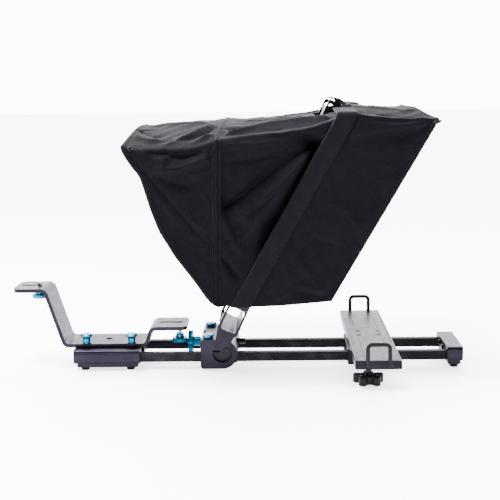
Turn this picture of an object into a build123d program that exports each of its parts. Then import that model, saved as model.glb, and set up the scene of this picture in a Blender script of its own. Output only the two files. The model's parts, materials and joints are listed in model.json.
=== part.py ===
from build123d import *
import math
import os

# Teleprompter on two square carbon rails: a camera bracket at the -X end, a sliding mast that
# carries the beam-splitter glass and its fabric hood, and a sliding tablet tray at the +X end.
# Millimetres. Origin: middle of the overall length and width, on the plane the feet stand on.
# +X runs from the camera towards the talent, +Z is up.

os.makedirs("parts", exist_ok=True)


def save(part, name):
    part.label = name
    export_step(part, f"parts/{name}.step")


# ---------------------------------------------------------------- driving dimensions
half_length = 318.3             # overall length is 636.6
rail_side = 12.7                # half-inch square carbon tube
rail_wall = 1.5
rail_y = 36.5                   # half the distance between rail centres
rail_z = 17.65                  # height of the rail centres
slide_gap = 0.15                # clearance between a rail and what slides on it
fit_gap = 0.05                  # radial clearance of a pin or screw in its hole

block_half_width = 49.0
block_low, block_top = 10.7, 30.5
block_back, block_front = -231.5, -137.5    # camera end block, along X
cap_back = 296.25                           # front end cap runs from here to half_length
base_low = 4.4
base_half_width = 44.0
foot_radius = 6.0
foot_y = 36.0
foot_xs = (-217.0, -152.0, 307.5)

plate_t = 5.2                   # camera bracket plate
plate_half_width = 31.0
flat_z = block_top + plate_t    # top of the bracket's middle flat
high_z = 116.2                  # top of the high camera platform
low_z = 59.5                    # top of the low camera platform
bracket_lean = math.radians(72.3)
leg_high_x, leg_low_x = -244.65, -131.75    # the legs' upper faces meet the middle flat here
low_end = -71.5
bend_radius = 8.5               # of the plate's middle line
slot_width = 6.8
keyhole_radius = 5.0
high_slot = (-309.0, -285.6)    # end centre of the slot, keyhole centre
low_slot = (-109.4, -84.0)
tripod_hole_x = -187.5
tripod_hole_radius = 4.9        # clears a 3/8 inch screw
bracket_screw_y = -24.0
bracket_screw_xs = (-216.0, -151.3)

thread_radius = 3.1             # 1/4 inch camera thread
thumb_radius = 8.2

carriage_back, carriage_front = -51.2, 1.2
carriage_low, carriage_top = 2.6, 45.0
carriage_half_width = 50.0
carriage_inner_y = 8.0
recess_x, recess_z, recess_radius, recess_depth = -20.2, 24.9, 13.5, 10.0
bridge_t, bridge_length, bridge_half_width = 4.0, 27.0, 44.0
carriage_screw_x = -40.7
lock_z = 30.8                   # axis of the lock wheel, along X at y = 0
lock_x = -68.0
lock_radius = 16.0

pivot_x, pivot_z = -14.25, 28.6
arm_t = 3.0
arm_gap = 0.4                   # between an arm and the carriage block
mast_angle = 64.4               # degrees from the horizontal
mast_foot_x, mast_foot_z = -4.8, 73.0       # a point on the mast's centre line
mast_half_foot, mast_half_top = 14.8, 8.9   # half widths at s = 0 and at the top
mast_top_s = 333.8              # length from that point to the top edge
mast_low_s = -17.7
pin_radius, pin_depth = 3.0, 17.0

glass_t = 3.0
glass_half_width = 143.0
glass_low_s, glass_high_s = 60.0, 300.0

hood_half_width = 150.0
hood_t = 2.0
strip_x, strip_z = 10.2, 113.1              # foot of the seam between rear hood and shade
strip_angle = 60.5

tray_x = 189.4                  # centre of the tablet tray
tray_width, tray_half_length = 61.0, 152.0
tray_low, tray_top = 28.5, 40.5
end_cap_t = 4.0
bar_width, bar_height = 43.2, 6.4
stop_rod_radius = 2.75
stop_width = 29.1               # between the centres of a stop's legs
stop_top, stop_foot = 62.5, 33.0
star_x, star_y = 178.25, -128.0

# ---------------------------------------------------------------- small helpers
mast_dir = (math.cos(math.radians(mast_angle)), math.sin(math.radians(mast_angle)))
front_slope = (mast_half_foot - mast_half_top) / mast_top_s


def mast_point(s, n):
    """X and Z of the point s along the mast's centre line and n towards its front."""
    return (mast_foot_x + s * mast_dir[0] + n * mast_dir[1],
            mast_foot_z + s * mast_dir[1] - n * mast_dir[0])


def mast_half(s):
    return mast_half_foot - front_slope * s


def side_plane(y):
    """Sketch plane seen from -Y: local x is X and local y is Z, at the given Y."""
    return Plane(origin=(0, y, 0), x_dir=(1, 0, 0), z_dir=(0, -1, 0))


def end_plane(x):
    """Sketch plane seen from +X: local x is Y and local y is Z, at the given X."""
    return Plane(origin=(x, 0, 0), x_dir=(0, 1, 0), z_dir=(1, 0, 0))


def revolved(profile, x, y):
    """A turned piece about the vertical axis at x, y, from (radius, z) corners."""
    with BuildPart() as turned:
        with BuildSketch(Plane(origin=(x, y, 0), x_dir=(1, 0, 0), z_dir=(0, -1, 0))):
            with BuildLine():
                Polyline(*profile, close=True)
            make_face()
        revolve(axis=Axis((x, y, 0), (0, 0, 1)))
    return turned.part


# ---------------------------------------------------------------- rails
for name, side in (("rail_near", -1), ("rail_far", 1)):
    with BuildPart() as rail:
        with BuildSketch(end_plane(block_back + 4)):
            with Locations((side * rail_y, rail_z)):
                RectangleRounded(rail_side, rail_side, 1.2)
                Rectangle(rail_side - 2 * rail_wall, rail_side - 2 * rail_wall, mode=Mode.SUBTRACT)
        extrude(amount=half_length - 4 - (block_back + 4))
    save(rail.part, name)


# ---------------------------------------------------------------- end blocks, bases and feet
def end_block(back, front):
    """Extruded block with side grooves and rounded shoulders, pocketed for both rails."""
    with BuildPart() as block:
        with BuildSketch(end_plane(back)) as profile:
            with Locations((0, (block_low + block_top) / 2)):
                Rectangle(2 * block_half_width, block_top - block_low)
            fillet(profile.vertices().group_by(Axis.Z)[-1], 4.0)
            fillet(profile.vertices().group_by(Axis.Z)[0], 1.2)
            for side in (-1, 1):
                with Locations((side * block_half_width, 25.2), (side * block_half_width, 12.9)):
                    Rectangle(2.0, 0.9, mode=Mode.SUBTRACT)
        extrude(amount=front - back)
        pocket_start = back + 4 if back < 0 else back - 1
        pocket_end = front + 1 if back < 0 else half_length - 4
        with BuildSketch(end_plane(pocket_start)):
            with Locations((-rail_y, rail_z), (rail_y, rail_z)):
                Rectangle(rail_side + 0.1, rail_side + 0.1)
        extrude(amount=pocket_end - pocket_start, mode=Mode.SUBTRACT)
    return block.part


def base_plate(back, front):
    """Lower plate under an end block, which carries the feet."""
    with BuildPart() as base:
        with BuildSketch(Plane.XY.offset(base_low)):
            with Locations(((back + front) / 2, 0)):
                RectangleRounded(front - back, 2 * base_half_width, 3)
        extrude(amount=block_low - base_low)
        chamfer(base.faces().sort_by(Axis.Z)[0].edges(), 0.8)
    return base.part


with BuildPart() as camera_end_block:
    add(end_block(block_back, block_front))
    for x in bracket_screw_xs:
        with Locations((x, bracket_screw_y, block_top)):
            Hole(thread_radius + fit_gap, depth=13)
    with Locations((tripod_hole_x, 0, block_top)):
        Hole(tripod_hole_radius, depth=14)
save(camera_end_block.part, "camera_end_block")
with BuildPart() as front_end_cap:
    add(end_block(cap_back, half_length))
save(front_end_cap.part, "front_end_cap")
save(base_plate(block_back + 3.5, block_front - 3.5), "camera_end_base")
save(base_plate(cap_back + 2, half_length - 2), "front_end_base")

with BuildPart() as rubber_feet:
    with BuildSketch(Plane.XY):
        for x in foot_xs:
            with Locations((x, -foot_y), (x, foot_y)):
                Circle(foot_radius)
    extrude(amount=base_low)
    chamfer(rubber_feet.faces().filter_by(Axis.Z).group_by(Axis.Z)[0].edges(), 0.8)
save(rubber_feet.part, "rubber_feet")

clamp_screw_y, clamp_screw_z = 14.0, 22.5
clamp_head_r, clamp_head_t, clamp_socket_r = 3.6, 3.4, 1.7
with BuildPart() as clamp_screws:
    for face_x, way in ((block_front, 1), (cap_back, -1)):
        spots = [(side * clamp_screw_y, clamp_screw_z) for side in (-1, 1)]
        with BuildSketch(end_plane(face_x)):
            with Locations(*spots):
                Circle(clamp_head_r)
        extrude(amount=way * clamp_head_t)
        with BuildSketch(end_plane(face_x + way * clamp_head_t)):
            with Locations(*spots):
                RegularPolygon(clamp_socket_r, 6)
        extrude(amount=-way * 2.0, mode=Mode.SUBTRACT)
save(clamp_screws.part, "clamp_screws")

# ---------------------------------------------------------------- camera bracket
lean_high = (high_z - flat_z) / math.tan(bracket_lean)
lean_low = (low_z - flat_z) / math.tan(bracket_lean)
leg_shift = plate_t / 2 * math.tan(bracket_lean / 2)     # from a leg's upper face to its middle line
bracket_tip = -half_length
with BuildPart() as camera_bracket:
    with BuildSketch(side_plane(plate_half_width)):
        with BuildLine():
            FilletPolyline(
                (bracket_tip, high_z - plate_t / 2),
                (leg_high_x - lean_high - leg_shift, high_z - plate_t / 2),
                (leg_high_x - leg_shift, flat_z - plate_t / 2),
                (leg_low_x + leg_shift, flat_z - plate_t / 2),
                (leg_low_x + lean_low + leg_shift, low_z - plate_t / 2),
                (low_end, low_z - plate_t / 2),
                radius=bend_radius,
            )
        trace(line_width=plate_t)
    extrude(amount=2 * plate_half_width)
    for x in (bracket_tip, low_end):
        corners = camera_bracket.edges().filter_by(Axis.Z).filter_by(lambda e: abs(e.center().X - x) < 0.1)
        fillet(corners, 12.0 if x == bracket_tip else 9.0)
    for start, keyhole, top in ((*high_slot, high_z), (*low_slot, low_z)):
        with BuildSketch(Plane.XY.offset(top)):
            with Locations(((start + keyhole) / 2, 0)):
                SlotOverall(keyhole - start + slot_width, slot_width)
            with Locations((keyhole, 0)):
                Circle(keyhole_radius)
        extrude(amount=-plate_t, mode=Mode.SUBTRACT)
    with Locations((tripod_hole_x, 0, flat_z)):
        Hole(tripod_hole_radius, depth=plate_t)
    for x in bracket_screw_xs:
        with Locations((x, bracket_screw_y, flat_z)):
            Hole(thread_radius + fit_gap, depth=plate_t)
save(camera_bracket.part, "camera_bracket")


# ---------------------------------------------------------------- turned screws and knobs
def thumb_screw(x, y, seat, neck, shank):
    """Thumbscrew on the height seat: thread, a neck given by (radius, rise) corners, round cap."""
    cap = seat + neck[-1][1]
    return revolved(
        [(0, seat - shank), (thread_radius, seat - shank), (thread_radius, seat + neck[0][1]),
         *[(radius, seat + rise) for radius, rise in neck],
         (thumb_radius - 0.5, cap), (thumb_radius, cap + 0.6), (thumb_radius, cap + 2.8),
         (thumb_radius - 1.0, cap + 3.8), (0, cap + 3.8)], x, y)


tall_neck = ((6.3, 0.3), (6.3, 1.3), (5.2, 2.0), (5.2, 6.8), (6.4, 8.4), (7.0, 9.6))
short_neck = ((7.0, 0.3), (7.0, 1.2))


for name, x in zip(("bracket_screw_rear", "bracket_screw_front"), bracket_screw_xs):
    save(thumb_screw(x, bracket_screw_y, flat_z, tall_neck, 16.0), name)


def knurled(part, x, y, radius, low, high, count, cut):
    """Straight finger grooves round a turned head."""
    with BuildPart() as head:
        add(part)
        with BuildSketch(Plane.XY.offset(low)):
            with Locations((x, y)):
                with PolarLocations(radius, count):
                    Circle(cut)
        extrude(amount=high - low, mode=Mode.SUBTRACT)
    return head.part


hub_radius, flange_radius = 6.0, 11.2
hub_h, flange_h = 6.0, 5.6
stud_over_hub = 12.2
neck_radius = 2.6


def camera_screw(label, x, hub_top, plate_top):
    """Hand screw for the camera: grooved knob, a washer under the plate, and a steel stud whose
    narrow neck keeps it captive in the slot."""
    plate_bottom = plate_top - plate_t
    flange_top = hub_top - hub_h
    knob = revolved(
        [(thread_radius + fit_gap, flange_top - flange_h), (flange_radius - 0.9, flange_top - flange_h),
         (flange_radius, flange_top - flange_h + 0.9), (flange_radius, flange_top - 0.8),
         (flange_radius - 0.8, flange_top), (hub_radius, flange_top), (hub_radius, hub_top),
         (thread_radius + fit_gap, hub_top)], x, 0)
    knob = knurled(knob, x, 0, flange_radius + 0.5, flange_top - flange_h, flange_top, 30, 0.9)
    knob = knurled(knob, x, 0, hub_radius + 0.4, flange_top, hub_top, 10, 1.1)
    save(knob, f"{label}_camera_knob")
    stud_top = hub_top + stud_over_hub
    neck_top = min(plate_top + 0.2, stud_top - 3.0)
    stud = revolved(
        [(0, flange_top - flange_h + 0.6), (thread_radius, flange_top - flange_h + 0.6),
         (thread_radius, hub_top), (neck_radius, hub_top), (neck_radius, neck_top),
         (thread_radius, neck_top), (thread_radius, stud_top - 0.7), (thread_radius - 0.7, stud_top),
         (0, stud_top)], x, 0)
    save(stud, f"{label}_camera_stud")
    washer = revolved(
        [(thread_radius + fit_gap, plate_bottom - 1.2), (5.9, plate_bottom - 1.2),
         (5.9, plate_bottom - 0.1), (thread_radius + fit_gap, plate_bottom - 0.1)], x, 0)
    save(washer, f"{label}_camera_washer")


camera_screw("high", high_slot[1], high_z - plate_t - 1.5, high_z)
camera_screw("low", low_slot[1], 43.0, low_z)

# ---------------------------------------------------------------- mast carriage
bridge_x = carriage_back + 5 + bridge_length / 2
arm_inner = carriage_half_width + arm_gap
arm_outer = arm_inner + arm_t
slide_half = rail_side / 2 + slide_gap      # half width of the liner's opening
liner_half = slide_half + 1.2


def carriage_block(side):
    """D-shaped block round one rail, with a round recess on its outer face."""
    inner, outer = side * carriage_inner_y, side * carriage_half_width
    round_r = (carriage_top - carriage_low) / 2
    with BuildPart() as block:
        with BuildSketch(side_plane(max(inner, outer))) as profile:
            with Locations(((carriage_back + carriage_front - round_r) / 2,
                            (carriage_low + carriage_top) / 2)):
                Rectangle(carriage_front - round_r - carriage_back, carriage_top - carriage_low)
            fillet(profile.vertices().group_by(Axis.X)[0], 4.5)
            with Locations((carriage_front - round_r, (carriage_low + carriage_top) / 2)):
                Circle(round_r)
        extrude(amount=carriage_half_width - carriage_inner_y)
        with BuildSketch(end_plane(carriage_back - 1)):
            with Locations((side * rail_y, rail_z)):
                Rectangle(2 * liner_half, 2 * liner_half)
        extrude(amount=carriage_front - carriage_back + 2, mode=Mode.SUBTRACT)
        with BuildSketch(side_plane(max(outer, outer - side * recess_depth))):
            with Locations((recess_x, recess_z)):
                Circle(recess_radius)
        extrude(amount=recess_depth, mode=Mode.SUBTRACT)
        with BuildSketch(Plane.XY.offset(carriage_top - bridge_t)):
            with Locations((bridge_x, side * (bridge_half_width + carriage_inner_y) / 2)):
                Rectangle(bridge_length + 0.1, bridge_half_width - carriage_inner_y + 0.1)
        extrude(amount=bridge_t + 1, mode=Mode.SUBTRACT)
        with BuildSketch(side_plane(max(outer, outer - side * pin_depth))):
            with Locations((pivot_x, pivot_z)):
                Circle(pin_radius)
        extrude(amount=pin_depth, mode=Mode.SUBTRACT)
        with Locations((carriage_screw_x, side * rail_y, carriage_top)):
            Hole(thread_radius + fit_gap, depth=carriage_top - rail_z - liner_half)
    return block.part


for name, side in (("carriage_block_near", -1), ("carriage_block_far", 1)):
    save(carriage_block(side), name)

with BuildPart() as carriage_bridge:
    with BuildSketch(Plane.XY.offset(carriage_top - bridge_t)):
        with Locations((bridge_x, 0)):
            RectangleRounded(bridge_length, 2 * bridge_half_width, 0.8)
        with Locations((carriage_screw_x, -rail_y), (carriage_screw_x, rail_y)):
            Circle(thread_radius + fit_gap, mode=Mode.SUBTRACT)
    extrude(amount=bridge_t)
save(carriage_bridge.part, "carriage_bridge")

lock_stud_r = 4.0
with BuildPart() as carriage_core:
    with BuildSketch(end_plane(carriage_back + 7)):
        with Locations((0, (lock_z - 10 + carriage_top - bridge_t) / 2)):
            Rectangle(2 * carriage_inner_y, carriage_top - bridge_t - (lock_z - 10))
        with Locations((0, lock_z)):
            Circle(lock_stud_r, mode=Mode.SUBTRACT)
    extrude(amount=carriage_front - 5 - (carriage_back + 7))
save(carriage_core.part, "carriage_core")

with BuildPart() as slide_liners:
    with BuildSketch(end_plane(carriage_back)):
        with Locations((-rail_y, rail_z), (rail_y, rail_z)):
            Rectangle(2 * liner_half, 2 * liner_half)
            Rectangle(2 * slide_half, 2 * slide_half, mode=Mode.SUBTRACT)
    extrude(amount=carriage_front - 1 - carriage_back)
save(slide_liners.part, "slide_liners")

for name, side in (("carriage_screw_near", -1), ("carriage_screw_far", 1)):
    save(thumb_screw(carriage_screw_x, side * rail_y, carriage_top, short_neck, 16.0), name)

# Lock wheel: it turns on a stud that runs through the carriage core and ends in a nut.
wheel_t, lock_hub_r, lock_hub_length = 6.4, 7.0, 11.0
wheel_front = lock_x + wheel_t / 2
with BuildPart() as lock_wheel:
    with BuildSketch(end_plane(lock_x - wheel_t / 2)):
        with Locations((0, lock_z)):
            Circle(lock_radius)
            with PolarLocations(lock_radius + 0.5, 36):
                Circle(1.0, mode=Mode.SUBTRACT)
    extrude(amount=wheel_t)
    with BuildSketch(end_plane(wheel_front)):
        with Locations((0, lock_z)):
            Circle(lock_hub_r)
    extrude(amount=lock_hub_length)
    with BuildSketch(end_plane(lock_x - wheel_t)):
        with Locations((0, lock_z)):
            Circle(lock_stud_r + fit_gap)
    extrude(amount=wheel_t * 2 + lock_hub_length + 2, mode=Mode.SUBTRACT)
save(lock_wheel.part, "lock_wheel")

nut_r, nut_t = 5.6, 7.0
core_front = carriage_front - 5
with BuildPart() as lock_stud:
    with BuildSketch(end_plane(lock_x - wheel_t / 2 - 1.5)):
        with Locations((0, lock_z)):
            Circle(lock_stud_r)
    extrude(amount=core_front + 15 - (lock_x - wheel_t / 2 - 1.5))
    with BuildSketch(end_plane(core_front)):
        with Locations((0, lock_z)):
            RegularPolygon(nut_r, 6)
    extrude(amount=nut_t)
save(lock_stud.part, "lock_stud")

with BuildPart() as pivot_pins:
    for side in (-1, 1):
        low_y = min(side * (carriage_half_width - pin_depth), side * (arm_outer + 0.2))
        high_y = max(side * (carriage_half_width - pin_depth), side * (arm_outer + 0.2))
        with BuildSketch(side_plane(high_y)):
            with Locations((pivot_x, pivot_z)):
                Circle(pin_radius)
        extrude(amount=high_y - low_y)
        head_y = max(side * (arm_outer + 0.2), side * (arm_outer + 1.8))
        with BuildSketch(side_plane(head_y)):
            with Locations((pivot_x, pivot_z)):
                Circle(5.0)
        extrude(amount=1.6)
save(pivot_pins.part, "pivot_pins")

with BuildPart() as pivot_spacers:
    for side in (-1, 1):
        outer = side * (carriage_half_width + 0.1)
        inner = side * (rail_y + liner_half + 0.2)
        with BuildSketch(side_plane(max(outer, inner))):
            with Locations((pivot_x, pivot_z)):
                Circle(4.6)
                Circle(pin_radius, mode=Mode.SUBTRACT)
        extrude(amount=abs(outer - inner))
save(pivot_spacers.part, "pivot_spacers")

# ---------------------------------------------------------------- mast
window_r = 3.6
windows = ((-17.0, 18.2, 11.4), (295.0, 329.4, 6.4))
tongue = ((-29.2, 46.0), (-27.5, 36.0), (-19.5, 24.0), (-8.0, 31.8), (-8.1, 41.0), (-2.5, 49.6))
boss_r = 7.0


def mast_arm(side):
    """Flat tapered arm with windows, and a tongue that turns on the pivot pin."""
    with BuildPart() as arm:
        with BuildSketch(side_plane(max(side * arm_inner, side * arm_outer))):
            with BuildLine():
                Polyline(mast_point(mast_top_s, mast_half_top), mast_point(mast_top_s, -mast_half_top),
                         mast_point(mast_low_s, -mast_half(mast_low_s)), *tongue,
                         mast_point(mast_low_s, mast_half(mast_low_s)), close=True)
            make_face()
            with Locations((pivot_x, pivot_z)):
                Circle(boss_r)
                Circle(pin_radius + fit_gap, mode=Mode.SUBTRACT)
            for low, high, half in windows:
                with Locations(mast_point((low + high) / 2, 0)):
                    RectangleRounded(high - low, 2 * half, window_r, rotation=mast_angle,
                                     mode=Mode.SUBTRACT)
        extrude(amount=arm_t)
        top = arm.edges().filter_by(Axis.Y).filter_by(lambda e: e.center().Z > 370)
        outer_top = top.sort_by(Axis.Z)
        fillet([outer_top[-1], outer_top.sort_by(Axis.X)[-1]], 2.4)
    return arm.part


for name, side in (("mast_arm_near", -1), ("mast_arm_far", 1)):
    save(mast_arm(side), name)

web_t, web_s, web_n = 1.6, -18.0, 12.2
with BuildPart() as mast_foot_plate:
    with BuildSketch(side_plane(arm_inner)):
        with BuildLine():
            FilletPolyline(mast_point(web_s, -web_n), mast_point(web_s, web_n), mast_point(2, web_n),
                           radius=4.0)
        trace(line_width=web_t)
    extrude(amount=2 * arm_inner)
save(mast_foot_plate.part, "mast_foot_plate")

with BuildPart() as mast_top_spacer:
    with BuildSketch(side_plane(arm_inner)):
        with Locations(mast_point(316, -0.5)):
            RectangleRounded(16, 11.6, 1.0, rotation=mast_angle)
    extrude(amount=2 * arm_inner)
save(mast_top_spacer.part, "mast_top_spacer")

with BuildPart() as mast_spacer:
    with BuildSketch(side_plane(arm_inner)):
        with Locations(mast_point(156, 0)):
            Circle(4.0)
    extrude(amount=2 * arm_inner)
save(mast_spacer.part, "mast_spacer")

screw_spots = [mast_point(156, 0), mast_point(22.5, -4)]
with BuildPart() as mast_screws:
    for side in (-1, 1):
        with BuildSketch(side_plane(max(side * arm_outer, side * (arm_outer + 1.6)))):
            with Locations(*screw_spots):
                Circle(3.0)
        extrude(amount=1.6)
save(mast_screws.part, "mast_screws")

# Glass frame: a plane along the mast's front edge, t up that edge and n in front of it.
glass_angle = mast_angle + math.degrees(math.atan(front_slope))
glass_dir = (math.cos(math.radians(glass_angle)), math.sin(math.radians(glass_angle)))
glass_foot = mast_point(0, mast_half_foot)
channel_back, channel_front = 1.2, 9.8
pane_back = 4.0


def glass_point(t, n):
    return (glass_foot[0] + t * glass_dir[0] + n * glass_dir[1],
            glass_foot[1] + t * glass_dir[1] - n * glass_dir[0])


def glass_box(t0, t1, n0, n1):
    """Rectangle in the XZ sketch plane, t0 to t1 along the glass and n0 to n1 through it."""
    with Locations(glass_point((t0 + t1) / 2, (n0 + n1) / 2)):
        Rectangle(t1 - t0, n1 - n0, rotation=glass_angle)


def glass_slot(t0, t1):
    with Locations(glass_point((t0 + t1) / 2, pane_back + glass_t / 2)):
        Rectangle(t1 - t0, glass_t + 0.2, rotation=glass_angle, mode=Mode.SUBTRACT)


channel_half = 147.0
with BuildPart() as beamsplitter_glass:
    with BuildSketch(side_plane(glass_half_width)):
        glass_box(glass_low_s, glass_high_s, pane_back, pane_back + glass_t)
    extrude(amount=2 * glass_half_width)
save(beamsplitter_glass.part, "beamsplitter_glass")

for name, low, high, slot_low, slot_high in (
        ("glass_channel_bottom", glass_low_s - 3, glass_low_s + 8, glass_low_s - 0.3, glass_low_s + 9),
        ("glass_channel_top", glass_high_s - 8, glass_high_s + 3, glass_high_s - 9, glass_high_s + 0.3)):
    with BuildPart() as channel:
        with BuildSketch(side_plane(channel_half)):
            glass_box(low, high, channel_back, channel_front)
            glass_slot(slot_low, slot_high)
        extrude(amount=2 * channel_half)
    save(channel.part, name)

with BuildPart() as glass_side_channels:
    for side in (-1, 1):
        outer, inner = side * channel_half, side * (glass_half_width - 5)
        with BuildSketch(side_plane(max(outer, inner))):
            glass_box(glass_low_s + 8.2, glass_high_s - 8.2, channel_back, channel_front)
        extrude(amount=abs(outer - inner))
        groove = side * (glass_half_width + 0.3)
        with BuildSketch(side_plane(max(groove, inner - side))):
            with Locations(glass_point((glass_low_s + glass_high_s) / 2, pane_back + glass_t / 2)):
                Rectangle(glass_high_s - glass_low_s, glass_t + 0.2, rotation=glass_angle)
        extrude(amount=abs(groove - inner + side), mode=Mode.SUBTRACT)
save(glass_side_channels.part, "glass_side_channels")

with BuildPart() as glass_brackets:
    for side in (-1, 1):
        with BuildSketch(side_plane(max(side * arm_inner, side * (arm_inner - 4)))):
            glass_box(glass_low_s - 2, glass_low_s + 8, -9.0, channel_back)
            glass_box(glass_high_s - 8, glass_high_s + 2, -9.0, channel_back)
        extrude(amount=4.0)
save(glass_brackets.part, "glass_brackets")

# ---------------------------------------------------------------- hood
seam_dir = (math.cos(math.radians(strip_angle)), math.sin(math.radians(strip_angle)))
seam_gap = 0.3                  # each way from the seam plane


def seam_point(height, ahead):
    """Point of the seam plane at a height, moved ahead of it along X."""
    return (strip_x + (height - strip_z) * seam_dir[0] / seam_dir[1] + ahead, height)


def hood_solid(outline, ridge, sagitta, half_width):
    """Side outline pulled across the width, with its top cut to a shallow arch."""
    (x0, z0), (x1, z1) = ridge
    pitch = math.atan2(z1 - z0, x1 - x0)
    span = 700.0
    with BuildPart() as solid:
        with BuildSketch(side_plane(half_width)):
            with BuildLine():
                Polyline(*outline, close=True)
            make_face()
        extrude(amount=2 * half_width)
        arch = Plane(origin=(x0, 0, z0), x_dir=(0, 1, 0), z_dir=(math.cos(pitch), 0, math.sin(pitch)))
        with BuildSketch(arch):
            with BuildLine():
                ThreePointArc((-half_width - 1, -sagitta), (0, 0), (half_width + 1, -sagitta))
                Polyline((half_width + 1, -sagitta), (half_width + 1, -span),
                         (-half_width - 1, -span), (-half_width - 1, -sagitta))
            make_face()
        extrude(amount=span, both=True, mode=Mode.INTERSECT)
    return solid.part


mast_gap_half, mast_gap_back, mast_gap_front, mast_gap_low = 57.0, 109.0, 161.0, 336.0


def mast_gap(part):
    """Clear the way through the top of the hood for the mast."""
    with BuildPart() as cut:
        add(part)
        with BuildSketch(Plane.XY.offset(mast_gap_low)):
            with Locations(((mast_gap_back + mast_gap_front) / 2, 0)):
                Rectangle(mast_gap_front - mast_gap_back, 2 * mast_gap_half)
        extrude(amount=80, mode=Mode.SUBTRACT)
    return cut.part


rear_ridge, rear_sag = ((-134.0, 344.0), (125.0, 362.0)), 17.0
mouth_low, mouth_high = (-24.0, 114.0), (-140.0, 323.0)
rear_outline = (mouth_low, seam_point(113.0, -seam_gap), seam_point(372.0, -seam_gap),
                (-131.0, 352.0), mouth_high, (-112.0, 267.0), (-74.0, 180.0))
rear_core = ((mouth_low[0] - 30, mouth_low[1] + hood_t), seam_point(113.0 + hood_t, 60),
             seam_point(372.0, 60), (-190.0, 372.0), (mouth_high[0] - 70, mouth_high[1] - 60))
rear_core_ridge = ((rear_ridge[0][0], rear_ridge[0][1] - hood_t),
                   (rear_ridge[1][0], rear_ridge[1][1] - hood_t))
with BuildPart() as rear_hood:
    add(hood_solid(rear_outline, rear_ridge, rear_sag, hood_half_width))
    add(hood_solid(rear_core, rear_core_ridge, rear_sag, hood_half_width - hood_t), mode=Mode.SUBTRACT)
    # the floor of the rear hood stops short of the mast
    with BuildSketch(Plane.XY.offset(110)):
        with Locations((20, 0)):
            Rectangle(50, 2 * (hood_half_width - hood_t))
    extrude(amount=8, mode=Mode.SUBTRACT)
save(mast_gap(rear_hood.part), "rear_hood")

shade_ridge, shade_sag = ((152.0, 371.5), (262.0, 363.5)), 13.0
shade_outline = (seam_point(112.6, seam_gap), (128.0, 119.5), (264.5, 352.0), (256.0, 371.0),
                 seam_point(382.0, seam_gap))
shade_core = ((-60.0, 90.0), (128.0 + 20, 90.0), (330.0, 352.0), (330.0, 380.0), (60.0, 380.0))
shade_core_ridge = ((shade_ridge[0][0], shade_ridge[0][1] - hood_t),
                    (shade_ridge[1][0], shade_ridge[1][1] - hood_t))
with BuildPart() as front_shade:
    add(hood_solid(shade_outline, shade_ridge, shade_sag, hood_half_width))
    add(hood_solid(shade_core, shade_core_ridge, shade_sag, hood_half_width - hood_t),
        mode=Mode.SUBTRACT)
save(mast_gap(front_shade.part), "front_shade")

# Hoop sewn into the rear hood and rods along the shade's free edges.
hoop_r, hoop_x = 1.5, -21.8
hoop_half = hood_half_width - hood_t - hoop_r - 0.4
hoop_low, hoop_shoulder, hoop_crown = 119.0, 322.0, 347.0
with BuildPart() as hood_hoop:
    with BuildLine(end_plane(hoop_x)) as hoop_path:
        FilletPolyline((-hoop_half, hoop_low), (-hoop_half, hoop_shoulder), (0, hoop_crown),
                       (hoop_half, hoop_shoulder), (hoop_half, hoop_low), radius=(20.0, 120.0, 20.0))
    with BuildSketch(Plane(origin=hoop_path.line @ 0, z_dir=(0, 0, 1))):
        Circle(hoop_r)
    sweep(path=hoop_path.line)
save(hood_hoop.part, "hood_hoop")

rod_r = 1.6
rod_foot, rod_head = (124.2, 120.5), (256.6, 345.0)
with BuildPart() as shade_rods:
    for side in (-1, 1):
        y = side * (hood_half_width - hood_t - rod_r - 0.4)
        direction = Vector(rod_head[0] - rod_foot[0], 0, rod_head[1] - rod_foot[1])
        with BuildSketch(Plane(origin=(rod_foot[0], y, rod_foot[1]), z_dir=direction)):
            Circle(rod_r)
        extrude(amount=direction.length)
save(shade_rods.part, "shade_rods")

strap_t, strap_half = 1.6, 54.5
with BuildPart() as top_strap:
    with BuildSketch(side_plane(strap_half)):
        with BuildLine():
            FilletPolyline(mast_point(mast_top_s + 1.4, -9.0), mast_point(mast_top_s + 1.4, 10.5),
                           (170.0, 372.9), radius=6.0)
        trace(line_width=strap_t)
    extrude(amount=2 * strap_half)
save(top_strap.part, "top_strap")

# ---------------------------------------------------------------- tablet tray
saddle_half, saddle_low, saddle_half_y = 32.5, 24.4, 48.0
with BuildPart() as tray_saddle:
    with BuildSketch(Plane.XY.offset(saddle_low)):
        with Locations((tray_x, 0)):
            RectangleRounded(2 * saddle_half, 2 * saddle_half_y, 3)
    extrude(amount=tray_low - saddle_low)
save(tray_saddle.part, "tray_saddle")

cheek_inner = rail_y + rail_side / 2 + slide_gap
cheek_outer, lip_inner = 47.6, 33.0
lip_low, lip_top = 6.6, rail_z - rail_side / 2 - slide_gap
with BuildPart() as saddle_clamps:
    for side in (-1, 1):
        with BuildSketch(end_plane(tray_x - saddle_half)):
            with BuildLine():
                Polyline((side * cheek_outer, saddle_low), (side * cheek_inner, saddle_low),
                         (side * cheek_inner, lip_top), (side * lip_inner, lip_top),
                         (side * lip_inner, lip_low), (side * cheek_outer, lip_low), close=True)
            make_face()
        extrude(amount=2 * saddle_half)
save(saddle_clamps.part, "saddle_clamps")

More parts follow.
